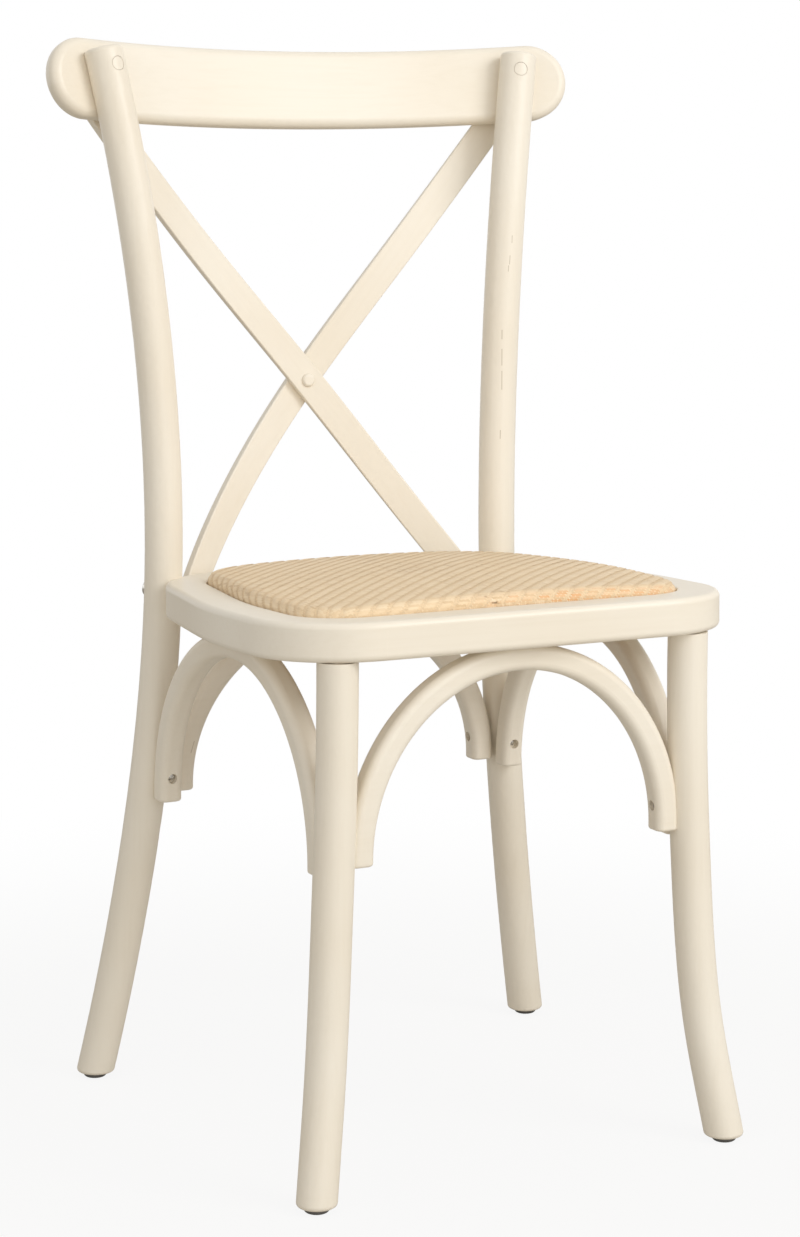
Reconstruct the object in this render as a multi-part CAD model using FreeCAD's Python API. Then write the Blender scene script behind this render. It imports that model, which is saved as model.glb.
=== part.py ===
import FreeCAD, Part
import math
import os

Vec = FreeCAD.Vector
Z_AXIS = Vec(0, 0, 1)

# Cross back dining chair of bent round rods, millimetres.
# The sitter faces -Y, +X is to the right seen from the front, the floor is Z = 0.
# Depths are first given from a line between the front and back legs; the whole chair
# is moved at the end so that the middle of its box stands over the origin.

# Round rods of the frame
post_radius = 16.0
leg_radius = 16.0
foot_round = 3.0
post_top_round = 3.5

# Back posts, which are also the back legs: (half spread, depth, height)
post_floor = (215.5, 197.5, 0.0)
post_knee = (176.3, 171.3, 240.0)
post_seat = (160.4, 161.5, 450.0)
post_bend = (166.0, 167.2, 640.0)
post_top = (196.8, 194.2, 880.0)

# Front legs
leg_floor = (184.8, -189.0, 0.0)
leg_bend = (170.2, -174.6, 100.0)
leg_shin = (160.6, -167.3, 230.0)
leg_top = (155.0, -165.0)
tenon_radius = 11.0
tenon_length = 20.0

# Seat ring, a flat bent frame that leans back
ring_front = -190.0
ring_back = 181.0
ring_front_half = 203.5
ring_side_half = 205.0
ring_side_depth = -30.0
ring_back_half = 166.0
ring_front_corner = 78.0
ring_side_bend = 400.0
ring_back_corner = 95.0
ring_thickness = 30.0
ring_width = 34.0
ring_ledge = 22.0
ring_rebate = 16.0
ring_round = 5.0
ring_inner_round = 2.0
ring_front_height = 421.0
ring_rake = 1.8

# Seat board, foam and woven cover
board_thickness = 8.0
board_gap = 0.6
pad_gap = 0.6
cover_thickness = 2.4
pad_crown = 15.0
pad_crown_radius = 2600.0
pad_edge_round = 9.0

# Crest rail, an upright board bent to an arc and tilted back with the posts
crest_half_length = 244.0
crest_height = 67.0
crest_thickness = 19.0
crest_sagitta = 45.0
crest_round = 7.0
crest_tilt = 13.0
crest_end_depth = 195.0
crest_end_height = 857.5

# Crossed slats, thin flat strips
slat_width = 26.0
slat_thickness = 7.0
slat_edge_round = 1.2
slat_foot_half = 135.0
slat_foot_height = 416.0
slat_foot_housing = 3.0
slat_low = (77.0, 206.0, 500.0)
slat_cross_depth = 222.0
slat_cross_height = 597.0
slat_high = (86.5, 226.4, 700.0)
slat_upper = (160.5, 223.6, 790.0)
slat_top_half = 202.5
slat_top_height = 844.0
slat_crest_bite = 0.4
slat_cross_gap = 1.3
slat_foot_turn = 330.0
slat_stations = 17

# Stud at the crossing
stud_head_radius = 6.0
stud_head_height = 3.0
stud_head_round = 2.7
stud_shank_radius = 2.5
stud_rear_height = 1.6

# Bent arches under the seat: bar section, half span, depth, height of their ends
arch_bar = 20.5
arch_bar_round = 6.5
arch_end_round = 2.5
arch_seat_bite = 1.0
front_arch_half = 136.5
front_arch_depth = -162.5
front_arch_end = 259.5
rear_arch_half = 146.0
rear_arch_depth = 165.0
rear_arch_end = 255.0
side_arch_front = (157.5, -143.5)
side_arch_rear = (165.5, 145.0)
side_arch_end = 251.0
arch_foot_straight = 4.0

# Wood screws
screw_head_radius = 3.6
screw_head_height = 2.4
screw_head_round = 0.8
screw_shank_radius = 1.9
screw_point_length = 4.0
screw_clearance = 0.3
pocket_radius = 4.2
pocket_depth = 5.0
end_screw_rise = 20.5
end_screw_length = 28.0
crown_screw_length = 29.0
crown_screw_half_gap = 22.0
slat_top_screw_drop = 9.0
slat_top_screw_half_gap = 6.5
slat_foot_screw_rise = 9.0
slat_screw_length = 19.0
board_screw_length = 19.0
board_screw_inset = 12.0
board_screw_front_half = 75.0
board_screw_rear_half = 65.0
board_screw_side_depths = (-85.0, 85.0)

# Bolts with wooden plugs through the posts and the crest rail
crest_bolt_height = 864.0
bolt_shank_radius = 3.0
bolt_head_radius = 5.6
bolt_head_height = 3.2
plug_radius = 6.0
plug_thickness = 4.0
plug_face_radius = 5.65
plug_face_depth = 2.0
plug_face_sink = 0.15
plug_head_gap = 0.2
crest_nut_radius = 4.5
crest_nut_length = 14.0
crest_nut_cap_radius = 7.0
crest_nut_cap_height = 2.0

# Bolts that hold the seat ring to the posts
seat_bolt_length = 52.0
seat_bolt_head_radius = 6.5
seat_bolt_head_height = 4.0
seat_bolt_sink = 3.0
insert_radius = 5.0
insert_length = 15.0
insert_cover = 5.0

# Glides under the feet
glide_radius = 10.0
glide_height = 4.5
glide_round = 3.0
glide_nail_radius = 1.5
glide_nail_length = 14.0

# How closely an edge has to lie to be picked by its place, and halvings of a path search
edge_tolerance = 0.05
path_halvings = 60


def mirrored(shape):
    return shape.mirror(Vec(0, 0, 0), Vec(1, 0, 0))


def spline_edge(points, end_direction=None):
    curve = Part.BSplineCurve()
    if end_direction is None:
        curve.interpolate(Points=points)
    else:
        first = (points[1] - points[0]).normalize()
        curve.interpolate(Points=points, InitialTangent=first, FinalTangent=end_direction)
    return curve.toShape()


def swept(path_edges, profile):
    return Part.Wire(path_edges).makePipeShell([profile], True, False)


def round_bar(edge, radius):
    start = edge.valueAt(edge.FirstParameter)
    direction = edge.tangentAt(edge.FirstParameter)
    profile = Part.Wire(Part.Circle(start, direction, radius).toShape())
    return swept([edge], profile)


def rounded_rectangle(centre, along, across, length, width, radius):
    """Closed wire of a rectangle with round corners, in the plane of two unit vectors."""
    half_l = length / 2.0
    half_w = width / 2.0
    edges = []
    corners = [(1, 1), (-1, 1), (-1, -1), (1, -1)]
    diagonal = math.sqrt(0.5)
    arcs = []
    for sx, sy in corners:
        middle = centre + along * (sx * (half_l - radius)) + across * (sy * (half_w - radius))
        on_along = middle + along * (sx * radius)
        on_across = middle + across * (sy * radius)
        bulge = middle + along * (sx * radius * diagonal) + across * (sy * radius * diagonal)
        if sx * sy > 0:
            arcs.append((on_along, bulge, on_across))
        else:
            arcs.append((on_across, bulge, on_along))
    for index, arc in enumerate(arcs):
        edges.append(Part.Arc(*arc).toShape())
        edges.append(Part.LineSegment(arc[2], arcs[(index + 1) % 4][0]).toShape())
    return Part.Wire(edges)


def below(height):
    """Block that holds everything of the chair under a height."""
    size = 2 * post_top[2]
    return Part.makeBox(size, size, size, Vec(-size / 2, -size / 2, height - size))


def edges_at_height(shape, height):
    picked = []
    for edge in shape.Edges:
        box = edge.BoundBox
        if abs(box.ZMin - height) < edge_tolerance and abs(box.ZMax - height) < edge_tolerance:
            picked.append(edge)
    return picked


def edges_about(shape, centre):
    """Round edges of a shape with their centre at a point."""
    return [edge for edge in shape.Edges
            if edge.CenterOfMass.distanceToPoint(centre) < edge_tolerance]


def post_path():
    points = [Vec(*place) for place in (post_floor, post_knee, post_seat, post_bend, post_top)]
    return spline_edge(points)


def leg_path():
    points = [Vec(*place) for place in (leg_floor, leg_bend, leg_shin)]
    points.append(Vec(leg_top[0], leg_top[1], leg_shoulder()))
    return spline_edge(points, Z_AXIS)


def point_at_height(edge, height):
    """Point of a rising path at a height, and the path's direction there."""
    low = edge.FirstParameter
    high = edge.LastParameter
    for _ in range(path_halvings):
        middle = (low + high) / 2.0
        if edge.valueAt(middle).z < height:
            low = middle
        else:
            high = middle
    return edge.valueAt(low), edge.tangentAt(low)


# Seat frame: X across, Y back from the front edge, Z up from the ring's underside
def to_seat(shape):
    moved = shape.copy()
    moved.rotate(Vec(0, ring_front, 0), Vec(1, 0, 0), -ring_rake)
    moved.translate(Vec(0, 0, ring_front_height))
    return moved


def seat_underside(depth):
    return ring_front_height - (depth - ring_front) * math.tan(math.radians(ring_rake))


def leg_shoulder():
    return seat_underside(leg_top[1]) - leg_radius * math.tan(math.radians(ring_rake))


def rounded_polygon(corners):
    """Closed wire through corners given as (x, y, radius)."""
    count = len(corners)
    cuts = []
    for index in range(count):
        before = corners[index - 1]
        here = corners[index]
        after = corners[(index + 1) % count]
        point = Vec(here[0], here[1], 0)
        back = (Vec(before[0], before[1], 0) - point).normalize()
        ahead = (Vec(after[0], after[1], 0) - point).normalize()
        half = back.getAngle(ahead) / 2.0
        reach = here[2] / math.tan(half)
        inward = (back + ahead).normalize()
        bulge = point + inward * (here[2] / math.sin(half) - here[2])
        cuts.append((point + back * reach, bulge, point + ahead * reach))
    edges = []
    for index, cut in enumerate(cuts):
        edges.append(Part.Arc(*cut).toShape())
        edges.append(Part.LineSegment(cut[2], cuts[(index + 1) % count][0]).toShape())
    return Part.Wire(edges)


def seat_outline(inset=0.0):
    right = [(ring_front_half, ring_front, ring_front_corner),
             (ring_side_half, ring_side_depth, ring_side_bend),
             (ring_back_half, ring_back, ring_back_corner)]
    left = [(-x, y, radius) for x, y, radius in reversed(right)]
    outline = rounded_polygon(right + left)
    if inset:
        outline = outline.makeOffset2D(-inset)
    return outline


def seat_slab(inset, bottom, top):
    face = Part.Face(seat_outline(inset))
    slab = face.extrude(Vec(0, 0, top - bottom))
    slab.translate(Vec(0, 0, bottom))
    return slab


def ring_blank():
    """The ring in the seat frame, before its housings and holes."""
    solid = seat_slab(0.0, 0.0, ring_thickness)
    outer_edges = edges_at_height(solid, 0.0) + edges_at_height(solid, ring_thickness)
    solid = solid.makeFillet(ring_round, outer_edges)
    ledge_height = ring_thickness - ring_rebate
    rebate = seat_slab(ring_width, ledge_height, 2 * ring_thickness)
    opening = seat_slab(ring_width + ring_ledge, -ring_thickness, ring_thickness)
    solid = solid.cut(rebate)
    lip = Part.Face(seat_outline(ring_width)).BoundBox
    lip.enlarge(edge_tolerance)
    lip_edges = []
    for edge in edges_at_height(solid, ring_thickness):
        box = edge.BoundBox
        if box.XMax < lip.XMax and box.XMin > lip.XMin and box.YMax < lip.YMax and box.YMin > lip.YMin:
            lip_edges.append(edge)
    solid = solid.makeFillet(ring_inner_round, lip_edges)
    return solid.cut(opening)


def pad_body(inset, top_drop):
    """Crowned pad: upright sides, a rounded shoulder and a shallow dome."""
    bottom = ring_thickness - ring_rebate + board_thickness
    top = ring_thickness + pad_crown - top_drop
    slab = seat_slab(ring_width + inset, bottom, ring_thickness + 2 * pad_crown)
    middle = (ring_front + ring_back) / 2.0
    ball = Part.makeSphere(pad_crown_radius, Vec(0, middle, top - pad_crown_radius))
    body = slab.common(ball)
    shoulder = [edge for edge in body.Edges if edge.BoundBox.ZMin > bottom + edge_tolerance]
    return body.makeFillet(pad_edge_round - inset / 2.0, shoulder)


# Crest rail, worked out level and then tilted about its ends
crest_radius = (crest_half_length ** 2 + crest_sagitta ** 2) / (2 * crest_sagitta)


def crest_place(shape):
    moved = shape.copy()
    moved.rotate(Vec(0, 0, 0), Vec(1, 0, 0), -crest_tilt)
    moved.translate(Vec(0, crest_end_depth, crest_end_height))
    return moved


def crest_back(x, height):
    """Depth of the rail's rear face, and its outward normal, at a half span and height."""
    tilt = math.radians(crest_tilt)
    outer = crest_radius + crest_thickness / 2.0
    level = crest_sagitta - crest_radius + math.sqrt(outer ** 2 - x ** 2)
    up = (height - crest_end_height + level * math.sin(tilt)) / math.cos(tilt)
    depth = crest_end_depth + level * math.cos(tilt) + up * math.sin(tilt)
    lean = x / outer
    straight = math.sqrt(1 - lean ** 2)
    return depth, Vec(lean, straight * math.cos(tilt), -straight * math.sin(tilt))


def crosses_end(edge):
    """True for the seams where the rail's straight part meets its round ends."""
    box = edge.BoundBox
    flat = box.ZLength < edge_tolerance and box.XLength < crest_thickness
    return flat and box.YLength > crest_thickness / 2.0


def crest_blank():
    middle = Vec(0, crest_sagitta - crest_radius, -crest_height)
    outer = Part.makeCylinder(crest_radius + crest_thickness / 2.0, 2 * crest_height, middle)
    inner = Part.makeCylinder(crest_radius - crest_thickness / 2.0, 2 * crest_height, middle)
    end_radius = crest_height / 2.0
    straight = crest_half_length - end_radius
    reach = crest_sagitta + 2 * crest_thickness
    block = Part.makeBox(2 * straight, 2 * reach, crest_height, Vec(-straight, -reach, -end_radius))
    for side in (-1, 1):
        start = Vec(side * straight, -reach, 0)
        end = Part.makeCylinder(end_radius, 2 * reach, start, Vec(0, 1, 0))
        block = block.fuse(end)
    rail = outer.cut(inner).common(block.removeSplitter())
    rims = [edge for edge in rail.Edges if not crosses_end(edge)]
    return crest_place(rail.makeFillet(crest_round, rims))


# Slats
def ring_corner_middle():
    """Centre of the ring's round rear corner on the right."""
    side_run = Vec(ring_back_half - ring_side_half, ring_back - ring_side_depth, 0).normalize()
    inward = Vec(-side_run.y, side_run.x, 0)
    middle_y = ring_back - ring_back_corner
    along = (middle_y - ring_side_depth - inward.y * ring_back_corner) / side_run.y
    return Vec(ring_side_half + side_run.x * along + inward.x * ring_back_corner, middle_y, 0)


def ring_back_depth(x):
    """Depth of the ring's rear face at a half span."""
    middle = ring_corner_middle()
    if x <= middle.x:
        return ring_back
    return middle.y + math.sqrt(ring_back_corner ** 2 - (x - middle.x) ** 2)


def slat_path(in_front):
    half = slat_thickness / 2.0
    gap = half + slat_cross_gap / 2.0
    cross_depth = slat_cross_depth + (-gap if in_front else gap)
    foot_depth = ring_back_depth(slat_foot_half) + half - slat_foot_housing
    top_depth = crest_back(slat_top_half, slat_top_height)[0] + half - slat_crest_bite
    return spline_edge([Vec(slat_foot_half, foot_depth, slat_foot_height),
                        Vec(*slat_low),
                        Vec(0, cross_depth, slat_cross_height),
                        Vec(-slat_high[0], slat_high[1], slat_high[2]),
                        Vec(-slat_upper[0], slat_upper[1], slat_upper[2]),
                        Vec(-slat_top_half, top_depth, slat_top_height)])


def slat_frame(path, height):
    """Place, run, facing and width directions of the strip at a height."""
    place, along = point_at_height(path, height)
    along.normalize()
    top_normal = crest_back(slat_top_half, slat_top_height)[1]
    rise = (height - slat_cross_height) / (slat_top_height - slat_cross_height)
    if rise > 0:
        facing = Vec(-top_normal.x * rise, 1.0, top_normal.z * rise)
    else:
        facing = Vec(place.x / slat_foot_turn, 1.0, 0)
    facing = (facing - along * facing.dot(along)).normalize()
    return place, along, facing, along.cross(facing).normalize()


def slat_blank(in_front):
    """Strip from the foot on the right to the crest rail on the left."""
    path = slat_path(in_front)
    wires = []
    for index in range(slat_stations):
        share = index / (slat_stations - 1.0)
        height = slat_foot_height + share * (slat_top_height - slat_foot_height)
        place, along, facing, across = slat_frame(path, height)
        wires.append(rounded_rectangle(place, across, facing, slat_width, slat_thickness,
                                       slat_edge_round))
    return Part.makeLoft(wires, True, False)


# Fasteners
def wood_screw(seat, direction, length):
    """Pan head screw: its head stands back from the seat and its shank runs forward."""
    head = Part.makeCylinder(screw_head_radius, screw_head_height,
                             seat - direction * screw_head_height, direction)
    head = head.makeFillet(screw_head_round, edges_about(head, seat - direction * screw_head_height))
    straight = length - screw_point_length
    shank = Part.makeCylinder(screw_shank_radius, straight, seat, direction)
    point = Part.makeCone(screw_shank_radius, screw_shank_radius / 5.0, screw_point_length,
                          seat + direction * straight, direction)
    return head.fuse([shank, point]).removeSplitter()


def screw_passage(surface, direction, depth, length):
    """Pocket for a head from a surface inwards, and a free hole for the shank."""
    wide = Part.makeCylinder(pocket_radius, 2 * depth, surface - direction * depth, direction)
    narrow = Part.makeCylinder(screw_shank_radius + screw_clearance, length, surface, direction)
    return wide.fuse(narrow)


# Arches, drawn across X about their middle and then turned and moved
def half_ellipse(half, rise, base):
    """Upright half ellipse from the left end over the top to the right end."""
    middle = Vec(0, 0, base)
    top = Vec(0, 0, base + rise)
    left = Vec(-half, 0, base)
    right = Vec(half, 0, base)
    if rise >= half:
        return Part.ArcOfEllipse(Part.Ellipse(top, right, middle), -math.pi / 2, math.pi / 2).toShape()
    return Part.ArcOfEllipse(Part.Ellipse(left, top, middle), 0, math.pi).toShape()


def arch_shoulder(crown_height, end_height):
    """Height where the hoop starts above its straight feet, and its rise from there."""
    shoulder = end_height + arch_foot_straight
    return shoulder, crown_height - arch_bar / 2.0 - shoulder


def arch_blank(half, crown_height, end_height):
    shoulder, rise = arch_shoulder(crown_height, end_height)
    hoop = half_ellipse(half, rise, shoulder)
    left_foot = Vec(-half, 0, end_height)
    right_foot = Vec(half, 0, end_height)
    left = Part.LineSegment(left_foot, Vec(-half, 0, shoulder)).toShape()
    right = Part.LineSegment(Vec(half, 0, shoulder), right_foot).toShape()
    profile = rounded_rectangle(left_foot, Vec(1, 0, 0), Vec(0, 1, 0), arch_bar, arch_bar,
                                arch_bar_round)
    bar = swept([left, hoop, right], profile)
    return bar.makeFillet(arch_end_round, edges_at_height(bar, end_height))


def arch_fasteners(half, crown_height, end_height):
    """Screws of one arch and the holes that they need in it."""
    screws = []
    holes = []
    shoulder, rise = arch_shoulder(crown_height, end_height)
    for side in (-1, 1):
        out = Vec(side, 0, 0)
        surface = Vec(side * (half - arch_bar / 2.0), 0, end_height + end_screw_rise)
        screws.append(wood_screw(surface + out * pocket_depth, out, end_screw_length))
        holes.append(screw_passage(surface, out, pocket_depth, end_screw_length))
        middle = shoulder + rise * math.sqrt(1 - (crown_screw_half_gap / half) ** 2)
        surface = Vec(side * crown_screw_half_gap, 0, middle - arch_bar / 2.0)
        screws.append(wood_screw(surface + Z_AXIS * pocket_depth, Z_AXIS, crown_screw_length))
        holes.append(screw_passage(surface, Z_AXIS, pocket_depth, crown_screw_length))
    return screws, holes


def arch_place(shape, left_foot, right_foot):
    """Turns and moves what was drawn across X so that it runs between two feet."""
    across = right_foot[0] - left_foot[0]
    back = right_foot[1] - left_foot[1]
    moved = shape.copy()
    moved.rotate(Vec(0, 0, 0), Z_AXIS, math.degrees(math.atan2(back, across)))
    moved.translate(Vec((left_foot[0] + right_foot[0]) / 2.0, (left_foot[1] + right_foot[1]) / 2.0, 0))
    return moved


def build_arch(left_foot, right_foot, end_height, ring, rods):
    """One arch seated under the ring and against two rods, with its screws."""
    half = math.hypot(right_foot[0] - left_foot[0], right_foot[1] - left_foot[1]) / 2.0
    middle_depth = (left_foot[1] + right_foot[1]) / 2.0
    crown = seat_underside(middle_depth) + arch_seat_bite
    screws, holes = arch_fasteners(half, crown, end_height)
    arch = arch_place(arch_blank(half, crown, end_height).cut(holes), left_foot, right_foot)
    return arch.cut([ring] + rods), [arch_place(screw, left_foot, right_foot) for screw in screws]


def glide(place):
    """Round glide with its nail, under a foot."""
    base = Vec(place.x, place.y, 0)
    disc = Part.makeCylinder(glide_radius, glide_height, base)
    disc = disc.makeFillet(glide_round, edges_at_height(disc, 0.0))
    nail = Part.makeCylinder(glide_nail_radius, glide_nail_length, base + Z_AXIS * glide_height)
    return disc.fuse(nail)


def crest_bolt_axis():
    """Point on the right post's axis, the direction of its crest bolt and that of the post."""
    place, along = point_at_height(post_path(), crest_bolt_height)
    return place, crest_back(place.x, crest_bolt_height)[1], along


def crest_fasteners():
    """Bolt, plug and nut of the right post, and the passages for them."""
    place, inward, along = crest_bolt_axis()
    surface = place - inward * post_radius
    head_top = surface + inward * (plug_thickness + plug_head_gap)
    seat = head_top + inward * bolt_head_height
    rear_depth = crest_back(place.x, place.z)[0]
    rear = place + inward * ((rear_depth - place.y) * inward.y)
    head = Part.makeCylinder(bolt_head_radius, bolt_head_height, head_top, inward)
    reach = (rear - seat).dot(inward) - crest_nut_length / 4.0
    bolt = head.fuse(Part.makeCylinder(bolt_shank_radius, reach, seat, inward))
    face = Part.makeCylinder(plug_face_radius, plug_face_depth, surface, inward)
    sanded = Part.makeCylinder(post_radius - plug_face_sink, 4 * plug_radius, place - along * 2 * plug_radius,
                               along)
    plug = face.common(sanded).fuse(Part.makeCylinder(plug_radius, plug_thickness - plug_face_depth,
                                                      surface + inward * plug_face_depth, inward))
    cap = Part.makeCylinder(crest_nut_cap_radius, crest_nut_cap_height, rear, inward)
    sleeve = Part.makeCylinder(crest_nut_radius, crest_nut_length, rear - inward * crest_nut_length, inward)
    nut = cap.fuse(sleeve).cut(bolt)
    sink = (seat - surface).dot(inward)
    well = Part.makeCylinder(plug_radius, sink + post_radius / 2.0, surface - inward * post_radius / 2.0,
                             inward)
    return bolt, plug, nut, well


def seat_fasteners():
    """Bolt and threaded insert that hold the ring to the right post."""
    height = seat_underside(post_seat[1]) + ring_thickness / 2.0
    place = point_at_height(post_path(), height)[0]
    inward = (ring_corner_middle() + Z_AXIS * height - place).normalize()
    surface = place - inward * post_radius
    seat = surface + inward * seat_bolt_sink
    head = Part.makeCylinder(seat_bolt_head_radius, seat_bolt_head_height,
                             seat - inward * seat_bolt_head_height, inward)
    bolt = head.fuse(Part.makeCylinder(bolt_shank_radius, seat_bolt_length, seat, inward))
    insert_start = place + inward * (post_radius + insert_cover)
    insert = Part.makeCylinder(insert_radius, insert_length, insert_start, inward).cut(bolt)
    well = Part.makeCylinder(seat_bolt_head_radius, 2 * seat_bolt_sink, surface - inward * seat_bolt_sink,
                             inward)
    return bolt, insert, well


def slat_screws(path):
    """Screws at the top and at the foot of one slat."""
    half = slat_thickness / 2.0
    place, along, facing, across = slat_frame(path, slat_top_height - slat_top_screw_drop)
    top = []
    for side in (-1, 1):
        seat = place + across * (side * slat_top_screw_half_gap) + facing * half
        top.append(wood_screw(seat, facing * -1, slat_screw_length))
    place, along, facing, across = slat_frame(path, slat_foot_height + slat_foot_screw_rise)
    foot = wood_screw(place + facing * half, facing * -1, slat_screw_length)
    return top, foot


def cross_stud(front_path, rear_path):
    """Domed stud through both slats, with a flat rivet head behind."""
    half = slat_thickness / 2.0
    place, along, facing, across = slat_frame(front_path, slat_cross_height)
    rear_place = slat_frame(rear_path, slat_cross_height)[0]
    front = place - facing * half
    grip = (rear_place - place).dot(facing) + slat_thickness
    head = Part.makeCylinder(stud_head_radius, stud_head_height, front - facing * stud_head_height, facing)
    head = head.makeFillet(stud_head_round, edges_about(head, front - facing * stud_head_height))
    shank = Part.makeCylinder(stud_shank_radius, grip, front, facing)
    rivet = Part.makeCylinder(stud_head_radius, stud_rear_height, front + facing * grip, facing)
    return head.fuse([shank, rivet])


def board_screws():
    """Screws from under the ledge into the board, in the seat frame."""
    inset = ring_width + board_screw_inset
    line = seat_outline(inset)
    places = [Vec(board_screw_front_half, ring_front + inset, 0),
              Vec(board_screw_rear_half, ring_back - inset, 0)]
    for depth in board_screw_side_depths:
        across = Part.makeLine(Vec(0, depth, 0), Vec(ring_side_half, depth, 0))
        places.append(line.section(across).Vertexes[0].Point)
    right = [wood_screw(place, Z_AXIS, board_screw_length) for place in places]
    return right + [mirrored(screw) for screw in right]


def build_chair():
    """Every piece of the chair by name, before it is moved over the origin."""
    parts = {}
    ring = to_seat(ring_blank())
    crest = crest_blank()

    right_post = round_bar(post_path(), post_radius)
    ends = [edge for edge in right_post.Edges if edge.CenterOfMass.z > post_top[2] - 1]
    right_post = right_post.makeFillet(post_top_round, ends).cut(below(glide_height))
    right_post = right_post.makeFillet(foot_round, edges_at_height(right_post, glide_height))
    right_post = right_post.cut(crest)

    right_leg = round_bar(leg_path(), leg_radius).cut([below(glide_height), ring])
    right_leg = right_leg.makeFillet(foot_round, edges_at_height(right_leg, glide_height))
    shoulder = Vec(leg_top[0], leg_top[1], leg_shoulder() - leg_radius)
    right_tenon = Part.makeCylinder(tenon_radius, leg_radius + tenon_length, shoulder)
    right_leg = right_leg.fuse(right_tenon)

    # Bolts through the posts
    bolt, plug, nut, well = crest_fasteners()
    seat_bolt, insert, seat_well = seat_fasteners()
    right_post = right_post.cut([bolt, well, seat_bolt, seat_well])
    crest = crest.cut([bolt, nut, mirrored(bolt), mirrored(nut)])
    ring = ring.cut([right_post, mirrored(right_post), right_tenon, mirrored(right_tenon)])
    ring = ring.cut([seat_bolt, insert, mirrored(seat_bolt), mirrored(insert)])
    for name, piece in (("crest_bolt", bolt), ("crest_plug", plug), ("seat_bolt", seat_bolt)):
        parts[name + "_right"] = piece
        parts[name + "_left"] = mirrored(piece)
    parts["crest_nuts"] = Part.makeCompound([nut, mirrored(nut)])
    parts["seat_inserts"] = Part.makeCompound([insert, mirrored(insert)])

    # Slats: the front one falls to the right, the rear one to the left
    front_path = slat_path(True)
    rear_path = slat_path(False)
    front_top, front_foot = slat_screws(front_path)
    rear_top, rear_foot = slat_screws(rear_path)
    top_screws = front_top + [mirrored(screw) for screw in rear_top]
    foot_screws = [front_foot, mirrored(rear_foot)]
    stud = cross_stud(front_path, rear_path)
    front_slat = slat_blank(True).cut([crest, stud] + top_screws + foot_screws)
    rear_slat = mirrored(slat_blank(False)).cut([crest, stud] + top_screws + foot_screws)
    ring = ring.cut([front_slat, rear_slat] + foot_screws)
    crest = crest.cut(top_screws)
    parts["cross_slat_front"] = front_slat
    parts["cross_slat_rear"] = rear_slat
    parts["cross_stud"] = stud
    parts["slat_top_screws"] = Part.makeCompound(top_screws)
    parts["slat_foot_screws"] = Part.makeCompound(foot_screws)

    # Arches: each bites into the ring from below and lies round the rods
    left_post = mirrored(right_post)
    left_leg = mirrored(right_leg)
    front_feet = ((-front_arch_half, front_arch_depth), (front_arch_half, front_arch_depth))
    rear_feet = ((-rear_arch_half, rear_arch_depth), (rear_arch_half, rear_arch_depth))
    right_feet = (side_arch_front, side_arch_rear)
    left_feet = tuple((-x, y) for x, y in right_feet)
    arches = {"front_arch": (front_feet, front_arch_end, [left_leg, right_leg]),
              "rear_arch": (rear_feet, rear_arch_end, [left_post, right_post]),
              "right_arch": (right_feet, side_arch_end, [right_leg, right_post]),
              "left_arch": (left_feet, side_arch_end, [left_leg, left_post])}
    all_screws = []
    for name, (feet, end_height, rods) in arches.items():
        arch, screws = build_arch(feet[0], feet[1], end_height, ring, rods)
        parts[name] = arch
        parts[name + "_screws"] = Part.makeCompound(screws)
        all_screws += screws
    ring = ring.cut(all_screws)

    # Seat board, foam and cover
    board_bottom = ring_thickness - ring_rebate
    board = seat_slab(ring_width + board_gap, board_bottom, board_bottom + board_thickness)
    pad_outside = pad_body(pad_gap, 0.0)
    foam = pad_body(pad_gap + cover_thickness, cover_thickness)
    screws = board_screws()
    parts["seat_board"] = to_seat(board.cut(screws))
    parts["seat_foam"] = to_seat(foam)
    parts["rattan_cover"] = to_seat(pad_outside.cut(foam))
    placed = [to_seat(screw) for screw in screws]
    parts["board_screws"] = Part.makeCompound(placed)
    parts["seat_ring"] = ring.cut(placed)

    parts["crest_rail"] = crest

    # Rods with their glides, the left ones as mirror images
    for name, rod, path in (("back", right_post, post_path()), ("front", right_leg, leg_path())):
        foot = glide(point_at_height(path, glide_height)[0])
        rod = rod.cut(all_screws + [foot])
        rod_name = "back_post_" if name == "back" else "front_leg_"
        parts[rod_name + "right"] = rod
        parts[rod_name + "left"] = mirrored(rod)
        parts["glide_" + name + "_right"] = foot
        parts["glide_" + name + "_left"] = mirrored(foot)
    return parts


def main():
    parts = build_chair()
    box = Part.makeCompound(list(parts.values())).optimalBoundingBox(False)
    middle = Vec(-(box.XMin + box.XMax) / 2.0, -(box.YMin + box.YMax) / 2.0, 0)
    os.makedirs("parts", exist_ok=True)
    for name in sorted(parts):
        shape = parts[name].copy()
        shape.translate(middle)
        shape.exportStep("parts/" + name + ".step")
        print(name, "solids", len(shape.Solids), "valid", shape.isValid(), "mm3", round(shape.Volume))
    print("moved by", round(middle.x, 3), round(middle.y, 3))
    print("size", round(box.XLength, 2), round(box.YLength, 2), round(box.ZLength, 2))
    for name in ("glide_front_right", "glide_back_right"):
        centre = parts[name].BoundBox.Center + middle
        print(name, round(centre.x, 3), round(centre.y, 3))


main()
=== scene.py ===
import math

import bmesh
import bpy
from mathutils import Matrix, Vector


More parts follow.
